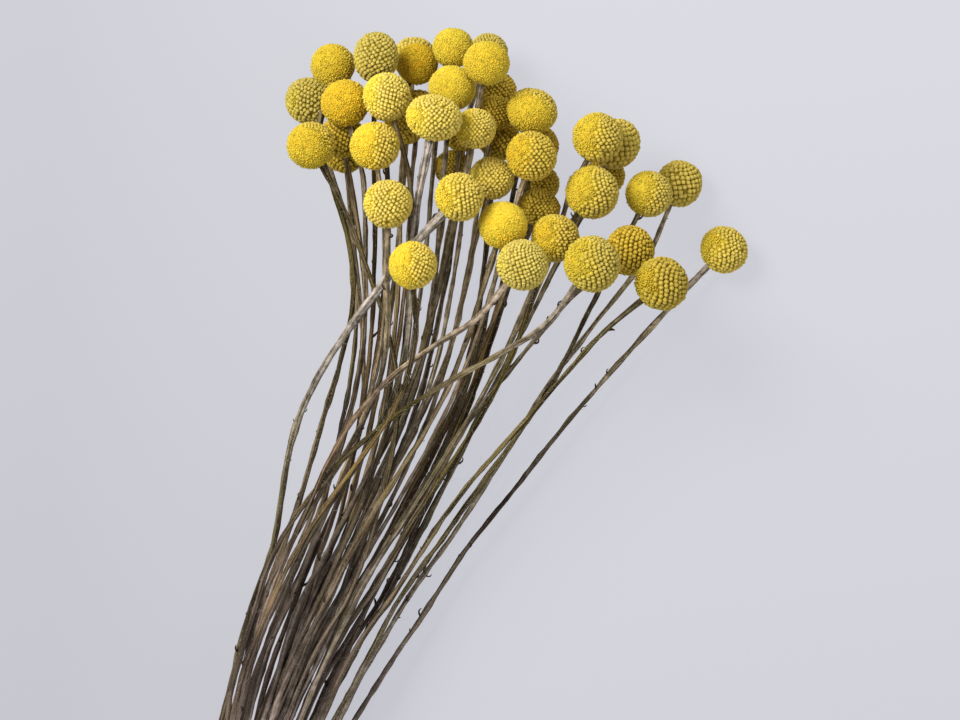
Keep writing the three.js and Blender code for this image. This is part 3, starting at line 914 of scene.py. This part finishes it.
THICK_WOOL = {  # by the head's number: the share of the way up where it begins, and how much
    13: (0.66, 0.8),
    31: (0.56, 1.05),
    35: (0.7, 0.35),
    37: (0.7, 0.45),
    40: (0.82, 0.4),
}
THICK_WOOL_DEPTH = 0.6


def wave(kind, at, phase):
    """The sum of one kind of waves at a place along a stem."""
    return sum(size * math.sin(at * speed + phase[which]) for size, speed, which in WAVES[kind])


def wool_share(number, share):
    """How much thick wool a head's stem has at a share of the way up: from 0 to about 1."""
    begins, thick = THICK_WOOL.get(number, (1.0, 0.0))
    return thick * max(0.0, share - begins) / max(1.0 - begins, 0.1)


def stem_shape(stem):
    """One stem's tube: the frame's route with waves and kinks, swellings, ridges and wool."""
    head = stem["head"]
    inside = head["centre"] - head["axis"] * (head["height"] * STEM_END)
    path = smooth_path([*relaxed(stem["path"], HELD), inside], STEM_SPACING)
    count = len(path)
    phase = rng.uniform(0, 6.28, 6)
    joints = (np.arange(JOINTS) + rng.uniform(0.1, 0.9, JOINTS)) / JOINTS * count
    kink_at = rng.uniform(*KINK_PLACES, KINKS) * count
    kink_by = rng.uniform(-1, 1, (KINKS, 2)) * KINK_SIZE
    for k in range(1, count - 2):
        at = k * STEM_SPACING
        ease = min(1.0, abs((path[k] - tie_centre).dot(tie_axis)) / TIE_HOLD)
        ease *= min(1.0, (count - k) / HEAD_HOLD)
        slack = min(1.0, max(0.0, (SLACK_BELOW - k / count) / SLACK_EASE))
        sway = wave("sway", at, phase) + slack * wave("slack sway", at, phase)
        lift = wave("lift", at, phase) + slack * wave("slack lift", at, phase)
        shift = tie_across * (sway * MM) + Vector((0, 0, lift * MM))
        for place, by in zip(kink_at, kink_by):
            kink = math.exp(-abs(k - place) / KINK_REACH)
            shift += tie_across * (by[0] * kink) + Vector((0, 0, by[1] * kink))
        path[k] = path[k] + shift * ease
    radii = []
    for k in range(count):
        share = k / (count - 1)
        from_joints = [(k - joint) * JOINT_NARROWNESS for joint in joints]
        swell = sum(JOINT_SWELL * math.exp(-(gap**2)) for gap in from_joints)
        wool = NECK_WOOL * max(0.0, (share - NECK) / (1 - NECK)) ** NECK_CURVE
        wool += THICK_WOOL_DEPTH * wool_share(head["number"], share)
        ripple = wave("ripple", k, phase)
        thickness = STEM_THICKNESS - STEM_TAPER * share + swell + wool + ripple
        radii.append(stem["radius"] * thickness)
    for k in range(count):
        path[k].z = max(path[k].z, radii[k] * FLOOR_HOLD)
    ridges = [1.0 + RIDGE * (-1) ** side for side in range(STEM_SIDES)]
    section = [ridge + rng.uniform(-RIDGE_VARIES, RIDGE_VARIES) for ridge in ridges]
    verts, *others = tube(path, radii, STEM_SIDES, section)
    return [vert + Vector(rng.normal(0, ROUGHNESS, 3)) for vert in verts], *others


# %% [markdown]
# ## The stems' finish
#
# Stems dry to browns, from nearly black through red-brown and olive, and a few stay green. Each
# keeps its own stain. Its grooves are noise that is stretched along the UV map, with painted
# shade in the hollows. Low down, thin grey-brown felt and broad shade even the stains out. Wool
# lies over the bark in patches, closes up towards the head, and on some stems is thick and nearly
# white.

# %% Stem material
STILL_GREEN = {6, 14, 31, 36, 38, 42, 43, 44, 46}  # heads whose stems dried green
GREEN_STAIN = (0.12, 0.115, 0.03)
STAINS = [  # colour, how often
    ((0.19, 0.12, 0.045), 5),  # brown
    ((0.28, 0.175, 0.045), 3),  # golden brown
    ((0.16, 0.125, 0.022), 3),  # olive
    ((0.065, 0.07, 0.022), 2),  # green-black
    ((0.25, 0.115, 0.05), 5),  # red-brown
    ((0.045, 0.03, 0.016), 2),  # nearly black
]

build = MaterialBuilder("stem_wool", 0.9, specular=0.04)
stem_wool = build.material
uv = build.out("ShaderNodeUVMap", uv_map="round_and_along")
here = build.place()
stain = build.add("ShaderNodeAttribute", attribute_name="stain").outputs["Color"]
names = ("way_up", "own", "cut", "woolly", "green")
way_up, own, cut, woolly, green = map(build.attribute, names)
own_place = build.combine(0.0, 0.0, build.times(own, 37.0))  # each stem's place in the noise


def along_stem(round_scale, length_scale, detail, low, high):
    """Spots that are stretched along the stem: cells round it, and cells in a metre of it."""
    place = build.vector("MULTIPLY", uv, (round_scale, length_scale, 1.0))
    return build.spots(build.vector("ADD", place, own_place), 1.0, detail, low, high)


streak = along_stem(4.0, 12.0, 2.0, 0.45, 0.6)
turned_dark = along_stem(1.5, 16.0, 3.0, 0.5, 0.66)
felt = along_stem(26.0, 500.0, 3.0, 0.3, 0.7)
still_green = along_stem(0.8, 9.0, 2.0, 0.5, 0.62)
fleck = along_stem(30.0, 1100.0, 2.0, 0.58, 0.7)
patch = build.spots(here, 55.0, 3.0, 0.45, 0.62)
blotch = build.spots(here, 240.0, 3.0, 0.4, 0.62)
lower_part = build.times(build.ramp(way_up, 0.75, 0.45), build.linear(green, -0.6, 1.0))
# The grooves give the relief, and painted shade in their hollows.
groove_and_shade = along_stem(9.0, 26.0, 3.0, 0.4, 0.6)
groove_and_shade = build.math("MAXIMUM", groove_and_shade, build.times(lower_part, 0.35))  # fuller of wool there
shade = build.times(build.spots(here, 45.0, 2.0, 0.45, 0.62), lower_part, 0.6)
still_green = build.times(still_green, build.linear(build.ramp(way_up, 0.4, 0.7), 0.45, 0.1))
bark = build.layered(
    stain,
    (still_green, (0.105, 0.092, 0.02)),
    (build.times(streak, 0.4), (0.33, 0.235, 0.115)),
    (build.times(turned_dark, 0.9), (0.014, 0.01, 0.006)),
    (build.times(lower_part, 0.72), (0.255, 0.186, 0.155)),
    (shade, (0.05, 0.034, 0.026)),
)
# Painted shade in the grooves' hollows.
bark = build.mix(groove_and_shade, (0.012, 0.008, 0.005), bark)
wool = build.plus(
    build.times(build.ramp(woolly, 0.0, 0.5), 1.1),
    build.times(build.ramp(way_up, 0.7, 0.95), 0.42),  # under the head
    build.times(patch, 0.3),
    build.times(build.ramp(way_up, 0.6, 0.25), 0.55),  # low down
    build.linear(own, 1.1, -0.65),  # more on some stems than on others
)
wool = build.times(
    wool,
    build.linear(felt, 0.9, 0.4),
    build.linear(groove_and_shade, 0.7, 0.3),
    build.linear(blotch, 0.75, 0.45),
    build.linear(shade, -1.0, 1.0),
)
wool_colour = build.mix(build.ramp(way_up, 0.4, 0.9), (0.52, 0.42, 0.365), (0.54, 0.42, 0.26))
wool_colour = build.mix(build.ramp(woolly, 0.2, 0.5), wool_colour, (0.57, 0.49, 0.435))
pith = build.mix(build.spots(here, 900.0, 2.0, 0.35, 0.65), (0.24, 0.17, 0.09), (0.5, 0.41, 0.26))
stem_colour = build.layered(
    bark,
    (build.out("ShaderNodeClamp", {0: wool}), wool_colour),
    (build.times(fleck, 0.5, build.linear(turned_dark, -0.9, 1.0)), (0.6, 0.5, 0.38)),
    (cut, pith),
)
build.finish(stem_colour, build.linear(felt, 0.35, groove_and_shade), 0.0004)
print("stems:", len(build.tree.nodes), "nodes")

# %% Finishes of what grows on a stem
def speckled(name, roughness, scale, one, two, sheen=0.0):
    """A material that varies between two colours in spots, with a fine relief."""
    build = MaterialBuilder(name, roughness, specular=0.2, sheen=sheen)
    spots = build.noise(build.place(), scale)
    build.finish(build.mix(spots, one, two), spots, 0.0001)
    return build.material


dead_leaf = speckled("dead_leaf", 0.9, 700.0, (0.008, 0.005, 0.003), (0.07, 0.045, 0.025))
loose_wool = speckled("loose_wool", 0.7, 300.0, (0.42, 0.36, 0.28), (0.8, 0.75, 0.66), sheen=0.3)
jute_fluff = speckled("jute_fluff", 0.8, 400.0, (0.35, 0.24, 0.12), (0.62, 0.48, 0.3))
print("finishes:", dead_leaf.name, loose_wool.name, jute_fluff.name)

# %% [markdown]
# ## Leaf stubs, hairs and wool with Geometry Nodes
#
# Every stem has lost its leaves, which leave small dark hooks, and sheds fine white hairs. Three
# small shapes are modelled once: a hook, a long hair and a short fibre of wool. The tree scatters
# them over the tubes. Each stands on the skin, leans up along its stem, and gets its own size and
# turn. The real thing has far more fibres, but these are enough to soften the outline.

# %% Shapes that grow on a stem
def bent_rod(name, places, radii, sides, width=1.0):
    """A tapering rod through places in millimetres, flattened across when width is over 1."""
    verts, faces, _, _, _ = tube([Vector(place) for place in places], radii, sides)
    verts = [Vector((v.x, v.y * width, v.z)) * MM for v in verts]
    return new_mesh_object(name, verts, faces)


leaf_stub = bent_rod(
    "leaf_stub",
    [(-0.2, 0, -0.3), (0.5, 0, 0.55), (1.3, 0.1, 0.95), (2.1, 0.35, 0.75), (2.5, 0.5, 0.35)],
    [0.42, 0.36, 0.3, 0.2, 0.06],
    5,
    width=1.5,
)
HAIR_PLACES = [(0, 0, -0.2), (2.2, 0.2, 1.2), (4.6, 1.0, 2.6)]
HAIR_PLACES += [(6.4, 2.6, 3.4), (7.4, 4.6, 3.3), (7.2, 6.4, 2.6)]
long_hair = bent_rod("long_hair", HAIR_PLACES, [0.06, 0.06, 0.055, 0.05, 0.04, 0.02], 3)
FIBRE_PLACES = [(0, 0, -0.15), (1.0, 0, 0.22), (2.3, 0.3, 0.75)]
wool_fibre = bent_rod("wool_fibre", FIBRE_PLACES, [0.06, 0.05, 0.02], 3)
print("shapes:", leaf_stub.name, long_hair.name, wool_fibre.name)

# %% The tree that dresses a stem
STUB_DENSITY = 2200.0
HAIR_DENSITY = 4200.0
FIBRE_DENSITY, FIBRE_EXTRA = 6000.0, 60000.0  # at the cut end, and how much more at the head

dress_tree, build, given, result = new_tree(
    "dressed_stems",
    {
        "Geometry": "Geometry",
        "Seed": "Int",
        "Leaf Stub": "Object",
        "Long Hair": "Object",
        "Wool Fibre": "Object",
        "Stub Material": "Material",
        "Hair Material": "Material",
    },
)
heading, way_up = (
    build.out("GeometryNodeInputNamedAttribute", {"Name": name}, data_type=kind)
    for name, kind in (("heading", "FLOAT_VECTOR"), ("way_up", "FLOAT"))
)


def grow(shape, material, density, sizes, lean, offset):
    """Scatters a shape over the stems: density is in shapes for a square metre of skin."""
    inputs = {"Mesh": given["Geometry"], "Density": density}
    inputs["Seed"] = build.plus(given["Seed"], offset)
    spots = build.add("GeometryNodeDistributePointsOnFaces", inputs).outputs
    inputs = {"Vector": spots["Normal"]}
    upright = build.out("FunctionNodeAlignRotationToVector", inputs, axis="Z")
    inputs = {"Rotation": upright, "Vector": heading}
    forward = build.out("FunctionNodeAlignRotationToVector", inputs, axis="X", pivot_axis="Z")
    swing = build.chance(tuple(-angle for angle in lean), lean, given["Seed"], offset + 1.0)
    sizes = build.chance(*sizes, given["Seed"], offset + 2.0)
    rotation = build.turned(forward, swing)
    placed = build.instances(spots["Points"], build.shape(given[shape]), rotation, sizes)
    return build.painted(placed, given[material])


fibre_density = build.linear(build.math("POWER", way_up, 4.0), FIBRE_EXTRA, FIBRE_DENSITY)
stubs = grow("Leaf Stub", "Stub Material", STUB_DENSITY, (0.5, 1.5), (0.3, 0.4, 0.7), 10.0)
hairs = grow("Long Hair", "Hair Material", HAIR_DENSITY, (0.2, 0.8), (0.5, 0.5, 1.4), 20.0)
fibres = grow("Wool Fibre", "Hair Material", fibre_density, (0.5, 1.3), (0.3, 0.3, 0.8), 30.0)
whole = build.joined(given["Geometry"], stubs, hairs, fibres)
dress_tree.links.new(whole, result.inputs[0])
print(len(dress_tree.nodes), "nodes in the tree")

# %% Stems, one piece for each group
STAIN_VARIES = (0.45, 1.4)  # how dark and how light a stain can be

stain_odds = np.array([often for _, often in STAINS], dtype=float)
stain_odds /= stain_odds.sum()
growth = {
    "Leaf Stub": leaf_stub,
    "Long Hair": long_hair,
    "Wool Fibre": wool_fibre,
    "Stub Material": dead_leaf,
    "Hair Material": loose_wool,
}
triangles_in_stems = 0
for number, name in enumerate(stem_nodes, start=1):
    shapes, cut, stains = [], [], []
    values = {"way_up": [], "own": [], "woolly": [], "green": []}
    for stem in (s for s in stems if s["node"] == name):
        verts, faces, _, lengths, _ = shape = stem_shape(stem)
        shapes.append(shape)
        head_number = stem["head"]["number"]
        shares = [length / lengths[-1] for length in lengths]
        values["way_up"] += shares
        values["own"] += [rng.uniform()] * len(verts)
        values["woolly"] += [wool_share(head_number, share) for share in shares]
        stain = np.array(STAINS[rng.choice(len(STAINS), p=stain_odds)][0])
        stain *= rng.uniform(*STAIN_VARIES)
        is_green = head_number in STILL_GREEN
        values["green"] += [float(is_green)] * len(verts)
        stains += [(*(GREEN_STAIN if is_green else stain), 1.0)] * len(verts)
        cut += [0.0] * (len(faces) - 2) + [1.0, 0.0]
    tubes = tubes_object("tubes", shapes, **values)
    store(tubes.data, "stain", stains, "FLOAT_COLOR")
    store(tubes.data, "cut", cut, domain="FACE")
    tubes.data.materials.append(stem_wool)
    mesh = run_tree(tubes, dress_tree, growth | {"Seed": number})
    bpy.data.objects.remove(tubes)
    piece = new_piece(f"stem_group_{number:02d}", mesh)
    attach(piece, "root")
    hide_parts(name)
    triangles_in_stems += len(mesh.loop_triangles)
print(triangles_in_stems, "triangles in the stems")

# %% [markdown]
# ## The twine tie
#
# The tie is one length of two-ply jute twine: a tail, a knot on top, five turns round the bundle,
# the knot again and the other tail. One curve runs through all of that. Taut twine runs straight
# between the outermost stems and bends over each of them, so the turns follow the stems' outline.
# Two plies coil round the curve, which is what makes it look like twine, and fibres stand off it.

# %% The twine's route
TWINE_DIAMETER = 0.0024
TWINE_TURNS = 5
STEPS_PER_TURN = 24
TWINE_SPACING = 0.0009
STEM_AT_TIE = 1.1  # of the radius in the frame
TWINE_ABOVE_STEM = 0.0011
KNOT_ABOVE_TURNS = 0.0006
MEETS = 0.3  # twine only lies on stems that are nearly on its own side
DIRECTIONS = 180
UNEVEN = ((0.00012, 3.7, 0.0), (0.00009, 8.3, 1.0))  # waves in the turns: size, speed, phase
KNOT_IN = [  # millimetres across the tie, along it, and up from the knot's height
    (-11.2, 11.2, -1.5),
    (-8.5, 9.8, -0.6),
    (-4.5, 3.4, 1.2),
    (-1.2, 0.8, 1.7),
    (2.0, -0.9, 1.0),
    (2.4, -2.6, -0.4),
    (0.4, -3.0, -0.8),
]
KNOT_OUT = [
    (1.6, 3.4, -0.6),
    (-1.6, 2.6, 0.2),
    (-2.6, 0.2, 0.6),
    (-0.8, -2.0, 1.2),
    (1.6, -0.6, 2.0),
    (4.2, 4.4, 1.4),
    (8.0, 6.2, -0.2),
    (11.2, 13.0, -1.5),
]

widest_wind = tie_radius - TWINE_DIAMETER / 2
looks = np.linspace(0.0, 2 * math.pi, DIRECTIONS, endpoint=False)
edges = []
for stem in stems:
    nearest = min(stem["path"], key=lambda place: abs((place - tie_centre).dot(tie_axis)))
    away = nearest - tie_centre
    edge = away.z * np.cos(looks) - away.dot(tie_across) * np.sin(looks)
    edges.append(edge + stem["radius"] * STEM_AT_TIE)
outermost = np.max(edges, axis=0) + TWINE_ABOVE_STEM


def wind_reach(turn):
    """How far taut twine lies from the tie's middle, at a turn from straight up."""
    aside = np.cos(looks - turn)
    meets = aside > MEETS
    return min(widest_wind, float(np.min(outermost[meets] / aside[meets])))


def in_tie(across, along, up):
    """A place given across the tie, along the bundle and up from the tie's middle."""
    return tie_centre + tie_across * across + tie_axis * along + Vector((0.0, 0.0, up))


def knot(rows):
    return [in_tie(across * MM, along * MM, knot_height + up * MM) for across, along, up in rows]


knot_height = wind_reach(0.0) + TWINE_DIAMETER / 2 + KNOT_ABOVE_TURNS
reaches = [wind_reach(look) for look in looks]
print(f"the turns reach {min(reaches) * 1000:.1f} to {max(reaches) * 1000:.1f} mm")
half_tie = TWINE_DIAMETER * (TWINE_TURNS - 1) / 2
route = knot(KNOT_IN)
for k in range(2, STEPS_PER_TURN * TWINE_TURNS - 1):
    turn = 2 * math.pi * k / STEPS_PER_TURN
    along = half_tie * (2 * k / (STEPS_PER_TURN * TWINE_TURNS) - 1)
    uneven = sum(size * math.sin(turn * speed + phase) for size, speed, phase in UNEVEN)
    reach = wind_reach(turn) + uneven
    route.append(in_tie(-math.sin(turn) * reach, along + uneven, math.cos(turn) * reach))
twine_path = smooth_path(route + knot(KNOT_OUT), TWINE_SPACING)
twine_length = sum((b - a).length for a, b in zip(twine_path, twine_path[1:]))
print(f"{twine_length * 1000:.0f} mm of twine")

# %% Twine material
build = MaterialBuilder("twine_jute", 0.9, specular=0.15, sheen=0.2)
twine_jute = build.material
uv = build.out("ShaderNodeUVMap", uv_map="round_and_along")
fibre_place = build.vector("MULTIPLY", uv, (14.0, 160.0, 1.0))
fibres = build.spots(fibre_place, 1.0, 3.0, 0.35, 0.65)
stained = build.times(build.spots(build.place(), 200.0, 2.0, 0.4, 0.6), 0.35)
jute = build.mix(fibres, (0.16, 0.1, 0.045), (0.52, 0.38, 0.21))
build.finish(build.mix(stained, jute, (0.4, 0.26, 0.12)), fibres, 0.0003)
print("twine:", len(build.tree.nodes), "nodes")

# %% Two plies and their fluff
PLY_RADIUS = 0.00068
PLY_OFFSET = 0.00056
PLY_SIDES = 6
TWIST_LENGTH = 0.0062
FRAY, FRAY_STEPS = 0.9, 4  # the plies part where the twine was cut

plies = []
for half_turn in (0.0, math.pi):
    path = []
    for k, (point, (length, _, one, two)) in enumerate(zip(twine_path, walk(twine_path))):
        turn = half_turn + 2 * math.pi * length / TWIST_LENGTH
        from_end = min(k, len(twine_path) - 1 - k)
        offset = PLY_OFFSET * (1.0 + FRAY * max(0.0, 1.0 - from_end / FRAY_STEPS))
        path.append(point + one * (offset * math.cos(turn)) + two * (offset * math.sin(turn)))
    plies.append(tube(path, [PLY_RADIUS] * len(path), PLY_SIDES))
half_way_up = [0.5] * sum(len(ply[0]) for ply in plies)
tubes = tubes_object("plies", plies, way_up=half_way_up)
tubes.data.materials.append(twine_jute)
growth = {
    "Seed": 99,
    "Leaf Stub": wool_fibre,
    "Long Hair": wool_fibre,
    "Wool Fibre": wool_fibre,
    "Stub Material": jute_fluff,
    "Hair Material": jute_fluff,
}
mesh = run_tree(tubes, dress_tree, growth)
bpy.data.objects.remove(tubes)
tie_piece = new_piece("twine", mesh)
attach(tie_piece, "root")
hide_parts("twine_tie")
print(len(mesh.loop_triangles), "triangles in the twine")

# %% [markdown]
# ## Floor and light
#
# A pale, slightly cool floor, one large soft light from the upper left, and an even, bright sky.
# The floor gives off some light of its own, like a lit sheet of frosted glass in a photographer's
# studio, so that the shadows on it stay faint. Like such a sheet, it doesn't glow quite evenly.

# %% Floor
FLOOR_HALF = 4.0
corners = [(-1, -1), (1, -1), (1, 1), (-1, 1)]
corners = [(x * FLOOR_HALF, y * FLOOR_HALF, 0) for x, y in corners]
floor = new_mesh_object("floor", corners, [(0, 1, 2, 3)])
build = MaterialBuilder("floor_paper", 0.95, specular=0.0)
build.shader.inputs["Base Color"].default_value = (0.1, 0.1, 0.105, 1.0)
build.shader.inputs["Emission Color"].default_value = (0.965, 0.965, 1.055, 1.0)
place = build.add("ShaderNodeSeparateXYZ", {0: build.place()}).outputs
glow = build.linear(build.ramp(place["X"], -0.2, 0.02), 0.1, 0.476)
glow = build.times(glow, build.linear(build.ramp(place["Y"], -0.1, 0.3), 0.1, 0.94))
build.tree.links.new(glow, build.shader.inputs["Emission Strength"])
floor.data.materials.append(build.material)

# %% Lights
TARGET = Vector((0.0, 0.12, 0.05))
SKY = (0.85, 0.87, 0.92, 1.0)
SKY_STRENGTH = 0.6


def area_light(name, place, size, power, colour):
    """A square light that faces the target."""
    data = bpy.data.lights.new(name, "AREA")
    data.size = size
    data.energy = power
    data.color = colour
    light = new_object(name, data)
    light.location = place
    light.rotation_euler = (TARGET - Vector(place)).to_track_quat("-Z", "Y").to_euler()


area_light("key", (-1.1, 1.1, 1.7), 1.0, 58.0, (1.0, 0.98, 0.95))
area_light("fill", (1.2, -0.8, 1.6), 1.6, 6.0, (0.93, 0.96, 1.0))
world = bpy.data.worlds.new("world")
bpy.context.scene.world = world
world.use_nodes = True
background = world.node_tree.nodes["Background"].inputs
background["Color"].default_value = SKY
background["Strength"].default_value = SKY_STRENGTH
bpy.context.scene.view_settings.view_transform = "Standard"

# %% Clear the helpers and finish
for helper in (bud, bloom, leaf_stub, long_hair, wool_fibre, carrier):
    bpy.data.objects.remove(helper)
